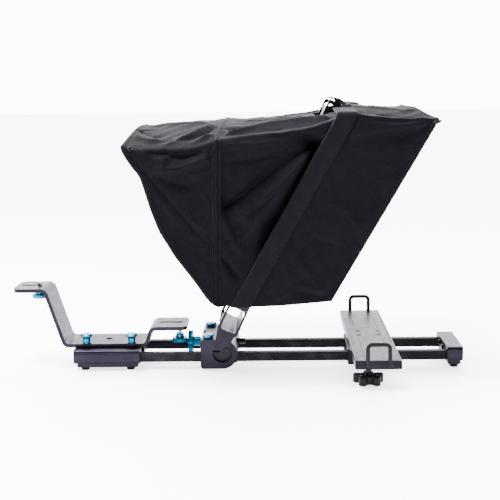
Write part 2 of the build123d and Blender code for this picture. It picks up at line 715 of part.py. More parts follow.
cavity_low, cavity_height, cavity_width = 31.0, 7.0, 44.0
tray_screw_x, tray_screw_y = 14.0, 12.0
groove_offsets = (-27.5, -17.0, 17.0, 27.5)
with BuildPart() as tablet_tray:
    with BuildSketch(side_plane(tray_half_length - end_cap_t)):
        with Locations((tray_x, (tray_low + tray_top) / 2)):
            RectangleRounded(tray_width, tray_top - tray_low, 1.0)
        for offset_x in groove_offsets:
            with Locations((tray_x + offset_x, tray_top)):
                Rectangle(0.9, 1.2, mode=Mode.SUBTRACT)
        with Locations((tray_x, cavity_low + cavity_height / 2)):
            Rectangle(cavity_width, cavity_height, mode=Mode.SUBTRACT)
    extrude(amount=2 * (tray_half_length - end_cap_t))
    with Locations((star_x, star_y, cavity_low)):
        Hole(4.35 + fit_gap, depth=cavity_low - tray_low)
    for dx in (-tray_screw_x, tray_screw_x):
        for dy in (-tray_screw_y, tray_screw_y):
            with Locations((tray_x + dx, dy, tray_top)):
                Hole(3.6, depth=tray_top - cavity_low - cavity_height)
save(tablet_tray.part, "tablet_tray")

with BuildPart() as tray_screws:
    with BuildSketch(Plane.XY.offset(tray_top - 2.2)):
        with Locations((tray_x, 0)):
            with GridLocations(2 * tray_screw_x, 2 * tray_screw_y, 2, 2):
                Circle(3.5)
                RegularPolygon(1.6, 6, mode=Mode.SUBTRACT)
    extrude(amount=1.9)
save(tray_screws.part, "tray_screws")

cap_screw_dx, cap_screw_z = 26.5, (31.2, 37.8)
for name, side in (("near_end_cap", -1), ("far_end_cap", 1)):
    inner, outer = side * (tray_half_length - end_cap_t), side * tray_half_length
    with BuildPart() as cap:
        with BuildSketch(side_plane(max(inner, outer))):
            with Locations((tray_x, (tray_low + tray_top) / 2)):
                RectangleRounded(tray_width, tray_top - tray_low, 1.6)
        extrude(amount=end_cap_t)
    save(cap.part, name)

for name, side in (("near_cap_screws", -1), ("far_cap_screws", 1)):
    inner, outer = side * tray_half_length, side * (tray_half_length + 0.9)
    leg_face = tray_half_length + 2 * stop_rod_radius
    with BuildPart() as screws:
        with BuildSketch(side_plane(max(inner, outer))):
            with Locations(*[(tray_x + dx, z) for dx in (-cap_screw_dx, cap_screw_dx) for z in cap_screw_z]):
                Circle(1.6)
        extrude(amount=0.9)
        with BuildSketch(side_plane(max(side * leg_face, side * (leg_face + 0.8)))):
            with Locations(*[(tray_x + dx, stop_foot + 1.5) for dx in (-stop_width / 2, stop_width / 2)]):
                Circle(1.7)
        extrude(amount=0.8)
    save(screws.part, name)


def stop_loop(side):
    """Rod bent into an upside-down U, standing on the outside of an end cap."""
    y = side * (tray_half_length + stop_rod_radius)
    half = stop_width / 2
    with BuildPart() as loop:
        with BuildLine(side_plane(y)) as path:
            FilletPolyline((tray_x - half, stop_foot), (tray_x - half, stop_top),
                           (tray_x + half, stop_top), (tray_x + half, stop_foot), radius=6.0)
        with BuildSketch(Plane(origin=path.line @ 0, z_dir=(0, 0, 1))):
            Circle(stop_rod_radius)
        sweep(path=path.line)
    return loop.part


for name, side in (("near_stop", -1), ("far_stop", 1)):
    save(stop_loop(side), name)

bar_length = 126.0
with BuildPart() as slide_bar:
    with BuildSketch(side_plane(bar_length - tray_half_length + end_cap_t)):
        with Locations((tray_x, cavity_low + cavity_height / 2)):
            RectangleRounded(bar_width, bar_height, 0.5)
    extrude(amount=bar_length)
save(slide_bar.part, "slide_bar")

star_low, star_high, star_lobe, star_core = 3.6, 15.6, 5.6, 12.0
star_reach = 15.6
with BuildPart() as star_knob:
    with BuildSketch(Plane.XY.offset(star_low)) as lobes:
        with Locations((star_x, star_y)):
            Circle(star_core)
            with PolarLocations(star_reach, 5, start_angle=20):
                Circle(star_lobe)
        fillet([v for v in lobes.vertices()
                if math.hypot(v.X - star_x, v.Y - star_y) < star_reach], 2.6)
    extrude(amount=star_high - star_low)
    fillet(star_knob.faces().filter_by(Axis.Z).edges(), 1.4)
save(star_knob.part, "star_knob")

stud_r, collar_r, collar_t = 4.35, 7.0, 2.4
save(revolved([(0, star_high), (collar_r, star_high), (collar_r, star_high + collar_t),
               (0, star_high + collar_t)], star_x, star_y), "star_washer")
save(revolved([(0, star_high + collar_t), (stud_r, star_high + collar_t), (stud_r, cavity_low),
               (0, cavity_low)], star_x, star_y), "star_stud")
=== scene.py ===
"""Looks of the rail teleprompter: materials for every CAD piece, and the sewn hood, shade and flap."""
import json
import math

import bpy
import numpy as np
from mathutils import Matrix, Vector


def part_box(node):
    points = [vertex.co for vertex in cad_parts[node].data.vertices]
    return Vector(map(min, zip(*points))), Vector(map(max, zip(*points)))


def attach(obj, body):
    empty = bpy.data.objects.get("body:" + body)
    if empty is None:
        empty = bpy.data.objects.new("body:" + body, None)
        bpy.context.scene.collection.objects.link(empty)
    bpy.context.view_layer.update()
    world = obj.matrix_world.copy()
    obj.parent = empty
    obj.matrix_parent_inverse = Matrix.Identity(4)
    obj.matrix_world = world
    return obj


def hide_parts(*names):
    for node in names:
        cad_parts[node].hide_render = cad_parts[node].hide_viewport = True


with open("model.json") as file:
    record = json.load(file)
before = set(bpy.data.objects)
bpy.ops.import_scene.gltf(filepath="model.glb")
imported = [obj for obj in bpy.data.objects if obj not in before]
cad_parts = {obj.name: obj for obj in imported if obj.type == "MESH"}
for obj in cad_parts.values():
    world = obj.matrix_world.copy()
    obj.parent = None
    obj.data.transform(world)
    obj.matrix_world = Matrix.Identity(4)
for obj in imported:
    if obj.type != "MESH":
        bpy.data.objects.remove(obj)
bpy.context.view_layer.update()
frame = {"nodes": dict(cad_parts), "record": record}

MM = 0.001
ROOM, SWEEP = 0.15, 13.0        # brightness behind the camera and behind the object
FLOOR_GLOW = 2.2                # the floor's own light, which keeps it near white


# ---------------------------------------------------------------- camera, floor and light
def make_camera():
    """Long lens from the near side, a little above the hood, looking slightly down."""
    yaw, pitch, roll = math.radians(1.27), math.radians(9.12), math.radians(-0.84)
    forward = Vector((-math.sin(yaw) * math.cos(pitch), math.cos(yaw) * math.cos(pitch), -math.sin(pitch)))
    level = Vector((math.cos(yaw), math.sin(yaw), 0))
    upright = level.cross(forward)
    right = level * math.cos(roll) + upright * math.sin(roll)
    up = upright * math.cos(roll) - level * math.sin(roll)
    data = bpy.data.cameras.new("camera")
    data.sensor_width = 36.0
    data.lens = 74.16
    data.clip_start, data.clip_end = 0.01, 50.0
    camera = bpy.data.objects.new("camera", data)
    bpy.context.scene.collection.objects.link(camera)
    turn = Matrix((right, up, -forward)).transposed().to_4x4()
    camera.matrix_world = Matrix.Translation((0.0522, -1.4595, 0.3986)) @ turn
    bpy.context.scene.camera = camera


def area_light(name, place, target, size, power, colour=(1.0, 1.0, 1.0)):
    data = bpy.data.lights.new(name, "AREA")
    data.shape, data.size, data.energy, data.color = "SQUARE", size, power, colour
    lamp = bpy.data.objects.new(name, data)
    lamp.location = place
    lamp.rotation_euler = (Vector(target) - Vector(place)).to_track_quat("-Z", "Y").to_euler()
    bpy.context.scene.collection.objects.link(lamp)


def make_stage():
    floor_mesh = bpy.data.meshes.new("floor")
    reach = 14.0
    floor_mesh.from_pydata([(-reach, -reach, 0), (reach, -reach, 0), (reach, reach, 0), (-reach, reach, 0)],
                           [], [(0, 1, 2, 3)])
    floor = bpy.data.objects.new("floor", floor_mesh)
    bpy.context.scene.collection.objects.link(floor)
    paint = bpy.data.materials.new("floor_paint")
    paint.use_nodes = True
    shader = paint.node_tree.nodes["Principled BSDF"]
    shader.inputs["Base Color"].default_value = (0.93, 0.93, 0.935, 1)
    shader.inputs["Roughness"].default_value = 0.5
    shader.inputs["Emission Color"].default_value = (1, 1, 1, 1)
    shader.inputs["Emission Strength"].default_value = FLOOR_GLOW
    floor_mesh.materials.append(paint)
    make_studio()


def make_studio():
    """White sweep behind the object, darker room behind the camera, and softboxes above."""
    world = bpy.data.worlds.new("studio")
    world.use_nodes = True
    nodes, links = world.node_tree.nodes, world.node_tree.links
    direction = nodes.new("ShaderNodeTexCoord").outputs["Generated"]
    split = nodes.new("ShaderNodeSeparateXYZ")
    ramp = nodes.new("ShaderNodeMapRange")
    ramp.interpolation_type = "SMOOTHSTEP"
    for socket, value in (("From Min", -0.35), ("From Max", 0.55), ("To Min", ROOM), ("To Max", SWEEP)):
        ramp.inputs[socket].default_value = value
    links.new(direction, split.inputs["Vector"])
    links.new(split.outputs["Y"], ramp.inputs["Value"])
    links.new(ramp.outputs["Result"], nodes["Background"].inputs["Strength"])
    nodes["Background"].inputs["Color"].default_value = (1.0, 1.0, 1.0, 1)
    bpy.context.scene.world = world
    centre = (0.0, 0.0, 0.2)
    area_light("top_softbox", (-0.45, -0.45, 1.9), centre, 0.7, 170)
    area_light("left_softbox", (-1.7, 0.35, 1.1), centre, 0.8, 70)
    area_light("front_fill", (0.9, -2.4, 1.3), centre, 1.2, 12)


# ---------------------------------------------------------------- materials
class Shader:
    """A material with short ways to add nodes."""

    def __init__(self, name, colour, roughness, **sockets):
        self.material = bpy.data.materials.new(name)
        self.material.use_nodes = True
        self.tree = self.material.node_tree
        self.surface = self.tree.nodes["Principled BSDF"]
        self.surface.inputs["Base Color"].default_value = (*colour, 1)
        self.surface.inputs["Roughness"].default_value = roughness
        for socket, value in sockets.items():
            self.surface.inputs[socket.replace("_", " ")].default_value = value
        self.place = self.tree.nodes.new("ShaderNodeTexCoord").outputs["Object"]

    def link(self, source, target):
        self.tree.links.new(source, target)

    def noise(self, scale, detail=3.0, stretch=(1, 1, 1)):
        mapping = self.tree.nodes.new("ShaderNodeMapping")
        mapping.inputs["Scale"].default_value = stretch
        self.link(self.place, mapping.inputs["Vector"])
        node = self.tree.nodes.new("ShaderNodeTexNoise")
        node.inputs["Scale"].default_value = scale
        node.inputs["Detail"].default_value = detail
        self.link(mapping.outputs["Vector"], node.inputs["Vector"])
        return node.outputs["Fac"]

    def wave(self, scale, turn, profile="SIN", distortion=0.0):
        """Bands across X after the coordinates are turned; scale is in bands per metre."""
        mapping = self.tree.nodes.new("ShaderNodeMapping")
        mapping.inputs["Rotation"].default_value = [math.radians(a) for a in turn]
        self.link(self.place, mapping.inputs["Vector"])
        node = self.tree.nodes.new("ShaderNodeTexWave")
        node.wave_profile = profile
        node.inputs["Scale"].default_value = scale * math.pi / 10
        node.inputs["Distortion"].default_value = distortion
        self.link(mapping.outputs["Vector"], node.inputs["Vector"])
        return node.outputs["Fac"]

    def math(self, operation, first, second):
        node = self.tree.nodes.new("ShaderNodeMath")
        node.operation = operation
        for socket, value in zip(node.inputs, (first, second)):
            if isinstance(value, float):
                socket.default_value = value
            else:
                self.link(value, socket)
        return node.outputs["Value"]

    def ramp(self, factor, low, high, low_value, high_value):
        node = self.tree.nodes.new("ShaderNodeMapRange")
        for socket, value in (("From Min", low), ("From Max", high), ("To Min", low_value),
                              ("To Max", high_value)):
            node.inputs[socket].default_value = value
        self.link(factor, node.inputs["Value"])
        return node.outputs["Result"]

    def mix(self, factor, first, second):
        node = self.tree.nodes.new("ShaderNodeMix")
        node.data_type = "RGBA"
        node.inputs["A"].default_value = (*first, 1)
        node.inputs["B"].default_value = (*second, 1)
        self.link(factor, node.inputs["Factor"])
        self.link(node.outputs["Result"], self.surface.inputs["Base Color"])

    def roughness(self, factor):
        self.link(factor, self.surface.inputs["Roughness"])

    def bump(self, height, distance, strength=1.0):
        node = self.tree.nodes.new("ShaderNodeBump")
        node.inputs["Distance"].default_value = distance
        node.inputs["Strength"].default_value = strength
        self.link(height, node.inputs["Height"])
        previous = self.surface.inputs["Normal"].links
        if previous:
            self.link(previous[0].from_socket, node.inputs["Normal"])
        self.link(node.outputs["Normal"], self.surface.inputs["Normal"])


def anodised(name, colour, pale, roughness=0.36):
    """Bead-blasted anodised aluminium: fine grain, faint cloudiness and slightly worn tone."""
    shader = Shader(name, colour, roughness, Metallic=1.0)
    shader.surface.inputs["Specular Tint"].default_value = (0.62, 0.60, 0.62, 1)
    shader.mix(shader.ramp(shader.noise(38, 4), 0.35, 0.75, 0.0, 1.0), colour, pale)
    shader.roughness(shader.ramp(shader.noise(120, 3), 0.3, 0.7, roughness - 0.05, roughness + 0.07))
    shader.bump(shader.noise(5200, 2), 0.00006, 0.35)
    return shader.material


def carbon():
    """Twill-woven carbon under satin resin: diagonal tows with paler flecks."""
    shader = Shader("carbon_twill", (0.004, 0.0038, 0.005), 0.6, Specular_IOR_Level=0.025)
    rising = shader.wave(420, (0, 45, 0), "TRI")
    falling = shader.wave(180, (0, -45, 0), "TRI")
    patchy = shader.ramp(shader.noise(90, 2, (0.5, 1, 1)), 0.4, 0.7, 0.15, 1.0)
    flecks = shader.math("MULTIPLY", rising, patchy)
    tows = shader.math("MULTIPLY", flecks, shader.ramp(falling, 0.0, 1.0, 0.45, 1.0))
    shader.mix(tows, (0.005, 0.0045, 0.006), (0.034, 0.031, 0.038))
    shader.roughness(shader.ramp(rising, 0.0, 1.0, 0.5, 0.68))
    shader.bump(rising, 0.00008, 0.4)
    return shader.material


def woven(name, colour, pale, sheen):
    """Fine plain-woven nylon: crossed threads, slight cloudiness and a dusty sheen."""
    shader = Shader(name, colour, 0.8, Sheen_Weight=sheen, Sheen_Roughness=0.5)
    shader.surface.inputs["Sheen Tint"].default_value = (0.86, 0.80, 0.92, 1)
    shader.surface.inputs["Specular IOR Level"].default_value = 0.04
    across = shader.math("ADD", shader.wave(1500, (0, 0, 0)), shader.wave(1500, (0, 90, 0)))
    threads = shader.math("ADD", across, shader.wave(1500, (0, 0, 90)))
    shader.mix(shader.ramp(shader.noise(30, 5), 0.3, 0.75, 0.0, 1.0), colour, pale)
    shader.roughness(shader.ramp(shader.noise(420, 2), 0.3, 0.7, 0.70, 0.84))
    shader.bump(threads, 0.00008, 0.3)
    shader.bump(shader.noise(75, 4), 0.0012, 0.35)
    return shader.material


def moulded(name, colour, roughness, grain):
    shader = Shader(name, colour, roughness, Specular_IOR_Level=0.07)
    shader.mix(shader.noise(60, 4), colour, tuple(c * 1.5 for c in colour))
    shader.roughness(shader.ramp(shader.noise(300, 3), 0.3, 0.7, roughness - 0.06, roughness + 0.08))
    shader.bump(shader.noise(grain, 3), 0.0002, 0.4)
    return shader.material


def brushed(name, colour, roughness):
    shader = Shader(name, colour, roughness, Metallic=1.0)
    shader.mix(shader.noise(200, 3, (1, 1, 14)), tuple(c * 0.8 for c in colour), colour)
    scratches = shader.noise(900, 2, (1, 1, 20))
    shader.roughness(shader.ramp(scratches, 0.3, 0.7, roughness - 0.07, roughness + 0.1))
    shader.bump(shader.noise(1500, 2, (1, 1, 25)), 0.00005, 0.3)
    return shader.material


def half_silvered():
    """Beam-splitter glass: clear, with a stronger mirror than plain glass."""
    shader = Shader("half_silvered_glass", (0.72, 0.76, 0.78), 0.03, Transmission_Weight=0.8, IOR=1.9)
    shader.roughness(shader.ramp(shader.noise(14, 3), 0.3, 0.7, 0.015, 0.05))
    return shader.material


def build_materials():
    gunmetal, gunmetal_pale = (0.0090, 0.0080, 0.0120), (0.0125, 0.0112, 0.0162)
    return {
        "carbon": carbon(),
        "dark_anodised": anodised("gunmetal_anodised", gunmetal, gunmetal_pale),
        "black_anodised": anodised("black_anodised", (0.006, 0.0057, 0.0075), (0.010, 0.009, 0.012), 0.42),
        "blue_anodised": anodised("blue_anodised", (0.0010, 0.085, 0.160), (0.002, 0.12, 0.215), 0.3),
        "steel": brushed("brushed_steel", (0.20, 0.195, 0.20), 0.32),
        "black_screw": brushed("black_oxide", (0.010, 0.0098, 0.012), 0.36),
        "black_rod": moulded("satin_black_coat", (0.003, 0.003, 0.0038), 0.38, 900),
        "black_plastic": moulded("moulded_black", (0.0022, 0.0022, 0.0026), 0.46, 1400),
        "rubber": moulded("foot_rubber", (0.003, 0.003, 0.0033), 0.78, 1100),
        "liner": moulded("liner_polymer", (0.012, 0.012, 0.013), 0.5, 1000),
        "glass": half_silvered(),
        "hood_fabric": woven("blackout_nylon", (0.0011, 0.0008, 0.0018), (0.0018, 0.0014, 0.0027), 0.003),
        "binding": woven("hood_binding", (0.0018, 0.0014, 0.0026), (0.0027, 0.0022, 0.0038), 0.0),
        "thread": moulded("sewing_thread", (0.0085, 0.0078, 0.0105), 0.7, 2000),
    }


DUSKY = {"pivot_pins": "black_screw", "pivot_spacers": "black_screw", "star_stud": "black_screw",
         "star_washer": "black_screw", "tray_screws": "rubber"}      # darker than their own slot


def dress_cad(materials):
    slot_of = {row["node"]: row["material_slot"] for row in frame["record"]["subparts"]}
    for name, node in frame["nodes"].items():
        node.data.materials.clear()
        node.data.materials.append(materials[DUSKY.get(name, slot_of[name])])


# ---------------------------------------------------------------- shape of the hood, in millimetres
HALF = 150.0                    # half width of hood and shade
SEAM_FOOT, SEAM_SLOPE = (10.2, 113.1), math.tan(math.radians(60.5))
TOP_SEAM_Z = 358.0
HOOP_X, HOOP_LEAN = -22.0, 0.018            # the hoop's casing leans slightly forward going up
MOUTH = ((-19, 113.9), (-27, 117), (-35, 126.5), (-49, 147.5), (-73, 179.5), (-93, 213),
         (-103, 240), (-111, 267), (-116, 284), (-127, 298), (-137, 314), (-140, 323))
REAR_FOOT = ((-19, 113.9), (-6, 115.4), SEAM_FOOT)      # lower edges of the hood's and shade's sides
SHADE_FOOT = (SEAM_FOOT, (60, 114.5), (128, 120))
FRONT = ((128, 120), (262.5, 349), (264, 352.5))
EDGE = ((-140, 323), (-118, 318.5), (-55, 319), (-18, 328.5), (30, 338), (125, 352.5), (150, 361.5),
        (158, 361.8), (205, 357.4), (240, 356.0), (268, 353.0))
CROWN = ((-140, 341), (-130, 344), (-94, 348.4), (-65, 351.4), (-20, 352.0), (10, 352.3), (50, 354),
         (96, 357.3), (125, 359.5), (146, 363), (160, 371.5), (233, 367.0), (250, 365), (268, 363))
REAR_PULL, SHADE_PULL = (10.0, 0.0), (0.0, -27.0)       # how far the open edges bow in mid-width
MAST_HALF, MAST_BACK, MAST_FRONT, MAST_LOW = 56.0, 112.0, 158.0, 330.0     # gap for the mast's top
STITCH_LENGTH, STITCH_PITCH, THREAD_RADIUS = 2.3, 3.4, 0.32
BAND_HALF_WIDTH = 12.6          # of the bands over the seam, at its foot
CASING_HALF_WIDTH = 3.6
HEM_INSET, HEM_HALF_WIDTH, HEM_HALF_THICKNESS = 2.6, 3.2, 1.25
EYELET_X, EYELET_Z, EYELET_RADIUS = -127.0, 321.0, 2.6


def along(points, share):
    """Points of a polyline at shares of its length."""
    p = np.array(points, float)
    run = np.concatenate([[0], np.cumsum(np.hypot(*np.diff(p, axis=0).T))])
    run /= run[-1]
    return np.stack([np.interp(share, run, p[:, 0]), np.interp(share, run, p[:, 1])], -1)


def height(table, x):
    p = np.array(table, float)
    return np.interp(x, p[:, 0], p[:, 1])


def soft_step(value):
    value = np.clip(value, 0, 1)
    return value * value * (3 - 2 * value)


def roof(x, y):
    """Height of the fabric roof: a shallow arch at the rear, a flat crown with sloping sides in front."""
    s = np.clip(np.abs(y) / HALF, 0, 1)
    arch = 1 - s ** 2.3
    crowned = 1 - soft_step((s - 0.42) / 0.58)
    front = soft_step((x - 115) / 35)
    low = height(EDGE, x)
    return low + (height(CROWN, x) - low) * (arch * (1 - front) + crowned * front)


def seam_x(z):
    return SEAM_FOOT[0] + (z - SEAM_FOOT[1]) / SEAM_SLOPE


def patch(left, right, bottom, top, u, t):
    """Coons patch between four edges, each an array of X and Z."""
    u, t = u[:, None, None], t[None, :, None]
    ruled = (1 - u) * left[None] + u * right[None] + (1 - t) * bottom[:, None] + t * top[:, None]
    corners = ((1 - u) * (1 - t) * left[None, :1] + u * (1 - t) * right[None, :1]
               + (1 - u) * t * left[None, -1:] + u * t * right[None, -1:])
    return ruled - corners


def shell(left, right, floor, pull, u_count, side_count, top_count):
    """Side, roof and side again: an array of points (u, girth, 3) in millimetres.
    pull moves the roof's two open edges along X in the middle of the width."""
    u = np.linspace(0, 1, u_count)
    t = np.linspace(0, 1, side_count)
    a, b = along(left, t), along(right, t)
    top_x = np.linspace(a[-1, 0], b[-1, 0], u_count)
    top = np.stack([top_x, height(EDGE, top_x)], -1)
    top[0], top[-1] = a[-1], b[-1]
    side = patch(a, b, along(floor, u), top, u, t)
    y = np.linspace(-HALF, HALF, top_count)
    bulge = 1 - (y / HALF) ** 2
    drawn = pull[0] * (1 - u)[:, None] ** 3 + pull[1] * u[:, None] ** 3
    x = side[:, -1, 0][:, None] + drawn * bulge[None]
    near = np.stack([side[..., 0], np.full(side.shape[:2], -HALF), side[..., 1]], -1)
    over = np.stack([x, np.broadcast_to(y, x.shape), roof(x, y[None])], -1)
    over[:, 0], over[:, -1] = near[:, -1], near[:, -1] * (1, -1, 1)
    far = near[:, ::-1] * (1, -1, 1)
    return np.concatenate([near, over[:, 1:-1], far], 1)


def normals(points):
    n = np.cross(np.gradient(points, axis=0), np.gradient(points, axis=1))
    return n / (np.linalg.norm(n, axis=-1, keepdims=True) + 1e-9)


def smooth(points, times):
    """Rounds the shoulders by averaging round the girth and a little along it."""
    for _ in range(times):
        points[:, 1:-1] = points[:, 1:-1] * 0.5 + (points[:, 2:] + points[:, :-2]) * 0.25
        points[1:-1] = points[1:-1] * 0.8 + (points[2:] + points[:-2]) * 0.1
    return points


def distance_to(route, px, py):
    """Distance from points to a polyline, and the share along it of the nearest place."""
    best, share = np.full(px.shape, 1e9), np.zeros(px.shape)
    run = np.concatenate([[0], np.cumsum(np.hypot(*np.diff(np.array(route, float), axis=0).T))])
    for (x0, y0), (x1, y1), start, end in zip(route, route[1:], run, run[1:]):
        dx, dy = x1 - x0, y1 - y0
        k = np.clip(((px - x0) * dx + (py - y0) * dy) / (dx * dx + dy * dy), 0, 1)
        d = np.hypot(px - x0 - k * dx, py - y0 - k * dy)
        near = d < best
        best = np.where(near, d, best)
        share = np.where(near, (start + k * (end - start)) / run[-1], share)
    return best, share


def fold(px, py, route, rise, width, ends=(0.12, 0.12)):
    """A sharp-backed fold along a route: rise is outward, and it dies away at the ends."""
    d, share = distance_to(route, px, py)
    fade = soft_step(share / max(ends[0], 1e-3)) * soft_step((1 - share) / max(ends[1], 1e-3))
    return CRISP * rise * np.exp(-np.sqrt(d * d + 1.2) * CRISP / width) * fade


def side_weight(points):
    return soft_step((np.abs(points[..., 1]) - (HALF - 26)) / 20)


CRISP = 1.35      # how much sharper and taller than drawn every fold is

# Folds of the rear hood: on the sides along (X, Z), on the roof along (X, |Y|).
SIDE_FOLDS = (
    (((116, 333), (50, 287), (-16, 237)), -13.0, 15, (0.12, 0.02)),
    (((113, 328), (69, 278), (22, 214), (0, 182)), 9.0, 13, (0.12, 0.35)),
    (((114, 326), (54, 270), (-8, 222)), 7.0, 8, (0.2, 0.15)),
    (((118, 332), (90, 276), (58, 218), (30, 166)), -26.0, 13, (0.06, 0.35)),
    (((-130, 314), (-85, 259), (-41, 206), (-16, 182), (12, 144)), -3.4, 1.7, (0.01, 0.04)),
    (((-134, 306), (-90, 252), (-46, 200)), 1.6, 4.0, (0.05, 0.1)),
    (((-17, 232), (10, 190), (24, 172)), 2.5, 8, (0.05, 0.4)),
    (((-16, 182), (-4, 163), (12, 144)), -5.0, 5, (0.1, 0.3)),
    (((-24, 309), (-66, 295), (-100, 292), (-122, 310)), 6.5, 9, (0.05, 0.2)),
    (((-30, 316), (-62, 308), (-82, 313), (-112, 316)), -6.5, 6, (0.2, 0.2)),
    (((-70, 317), (-88, 305), (-80, 298)), 3.5, 5, (0.2, 0.2)),
    (((-118, 306), (-92, 284), (-60, 272), (-26, 262)), -2.6, 10, (0.1, 0.4)),
    (((-24, 290), (-58, 284), (-95, 276)), 1.8, 8, (0.1, 0.5)),
    (((-24, 231), (-60, 233)), -1.2, 2.4, (0.05, 0.4)),
    (((-26, 183), (-52, 188)), -1.0, 2.2, (0.05, 0.4)),
    (((-26, 150), (-40, 172), (-62, 200)), 2.2, 9, (0.2, 0.5)),
    (((-22, 196), (4, 204), (30, 222)), -2.6, 9, (0.1, 0.4)),
    (((40, 338), (80, 330), (118, 338)), -4.0, 9, (0.3, 0.1)),
    (((-16, 322), (40, 326), (100, 334)), 4.0, 6, (0.05, 0.3)),
    (((-14, 300), (30, 306), (90, 322)), -3.0, 9, (0.05, 0.3)),
    (((96, 314), (66, 296), (40, 262), (26, 236)), 3.0, 6, (0.2, 0.3)),
    (((-24, 128), (-22, 116), (6, 118)), 2.4, 6, (0.1, 0.1)),
    (((-60, 250), (-48, 224), (-30, 214)), 1.8, 7, (0.2, 0.3)),
)
ROOF_FOLDS = (
    (((-14, 74), (-52, 112), (-92, 146)), 6.0, 9, (0.08, 0.2)),
    (((-18, 124), (-42, 138), (-66, 149)), 7.0, 7, (0.06, 0.2)),
    (((-16, 98), (-40, 116), (-70, 128), (-96, 128)), -4.5, 7, (0.06, 0.3)),
    (((-128, 62), (-108, 92), (-84, 112)), -4.5, 8, (0.1, 0.3)),
    (((-130, 104), (-106, 122), (-84, 124)), 3.5, 8, (0.1, 0.3)),
    (((-126, 20), (-80, 46), (-22, 52)), 2.8, 12, (0.2, 0.2)),
    (((-12, 136), (52, 112), (108, 118), (128, 132)), 7.0, 11, (0.06, 0.05)),
    (((20, 148), (60, 142), (104, 140), (128, 146)), -8.0, 7, (0.3, 0.05)),
    (((-8, 116), (40, 92), (100, 86)), -4.5, 12, (0.1, 0.2)),
    (((0, 60), (50, 44), (108, 56)), 3.0, 13, (0.2, 0.2)),
    (((2, 140), (40, 134), (84, 130)), -2.6, 4, (0.2, 0.3)),
)
SHADE_SIDE_FOLDS = (
    (((150, 334), (205, 344), (256, 350)), 3.2, 6, (0.05, 0.1)),
    (((156, 353), (205, 352), (258, 351)), -1.8, 2.4, (0.05, 0.05)),
    (((140, 300), (185, 268), (205, 232)), -1.8, 14, (0.3, 0.3)),
    (((236, 318), (214, 322), (196, 314)), 1.4, 6, (0.2, 0.3)),
    (((222, 290), (196, 284), (176, 290)), -1.8, 7, (0.2, 0.3)),
    (((120, 250), (150, 236), (178, 196)), 2.2, 9, (0.2, 0.3)),
    (((80, 176), (104, 200), (150, 190)), -2.4, 8, (0.2, 0.3)),
    (((52, 122), (88, 142), (120, 132)), 2.6, 6, (0.1, 0.2)),
    (((60, 150), (96, 172), (128, 178)), 1.6, 12, (0.2, 0.3)),
    (((34, 124), (76, 136), (124, 122)), -1.8, 12, (0.2, 0.1)),
    (((122, 128), (104, 150), (70, 190)), 1.8, 9, (0.1, 0.4)),
    (((54, 158), (74, 192), (100, 226)), -1.4, 7, (0.2, 0.4)),
)
SHADE_ROOF_FOLDS = (
    (((156, 76), (200, 82), (246, 92)), 2.2, 5, (0.1, 0.1)),
    (((158, 112), (204, 118), (252, 132)), -2.4, 9, (0.1, 0.1)),
    (((160, 20), (200, 34), (244, 30)), -1.2, 14, (0.3, 0.3)),
)


def pucker(points, side_folds, roof_folds):
    """How far each point moves outward for the folds; the far side's are a little different."""
    x, y, z = (points[..., i] for i in range(3))
    w = side_weight(points)
    far = np.where(y > 0, 0.82, 1.0)
    drift = np.where(y > 0, 3.0, 0.0)
    out = np.zeros(x.shape)
    for route, rise, width, ends in side_folds:
        out += w * far * fold(x + drift, z - drift, route, rise, width, ends)
    for route, rise, width, ends in roof_folds:
        out += (1 - w) * far * fold(x - drift, np.abs(y) + drift, route, rise, width, ends)
    return out


def hoop_line(points):
    """Distance along X from the hoop's casing, which bows forward over the crown."""
    x, y, z = (points[..., i] for i in range(3))
    crown = soft_step((HALF - np.abs(y)) / HALF) * 9.0
    return x - (HOOP_X + HOOP_LEAN * (z - SEAM_FOOT[1]) + crown)


def casing(offset, half_width, rise):
    """A sewn channel: raised, with a stitched groove at each side."""
    raised = soft_step((half_width - np.abs(offset)) / 1.4)
    groove = np.exp(-((np.abs(offset) - half_width) / 0.9) ** 2)
    return rise * raised - 0.9 * groove


def ripple(points, scale, amount):
    """Slight unevenness of slack cloth, from a few fixed waves."""
    waves = np.random.default_rng(3).normal(size=(7, 3)) / scale
    phase = np.random.default_rng(4).uniform(0, 2 * math.pi, 7)
    return amount * np.sin(np.tensordot(points, waves.T, 1) * 2 * math.pi + phase).mean(-1)


# ---------------------------------------------------------------- meshes
def sheet_mesh(name, points, material, keep=None, thickness=0.9):
    """Grid of points in millimetres as a smooth mesh; keep says which faces stay."""
    rows, cols = points.shape[:2]
    index = np.arange(rows * cols).reshape(rows, cols)
    faces = np.stack([index[:-1, :-1], index[1:, :-1], index[1:, 1:], index[:-1, 1:]], -1)
    if keep is not None:
        faces = faces[keep]
    faces = faces.reshape(-1, 4)
    used = np.unique(faces)
    renumber = np.full(rows * cols, -1)
    renumber[used] = np.arange(len(used))
    mesh = bpy.data.meshes.new(name)
    mesh.from_pydata((points.reshape(-1, 3)[used] * MM).tolist(), [], renumber[faces].tolist())
    mesh.polygons.foreach_set("use_smooth", [True] * len(mesh.polygons))
    mesh.materials.append(material)
    piece = bpy.data.objects.new(name, mesh)
    bpy.context.scene.collection.objects.link(piece)
    if thickness:
        solid = piece.modifiers.new("cloth_thickness", "SOLIDIFY")
        solid.thickness, solid.offset = thickness * MM, -1
    return piece


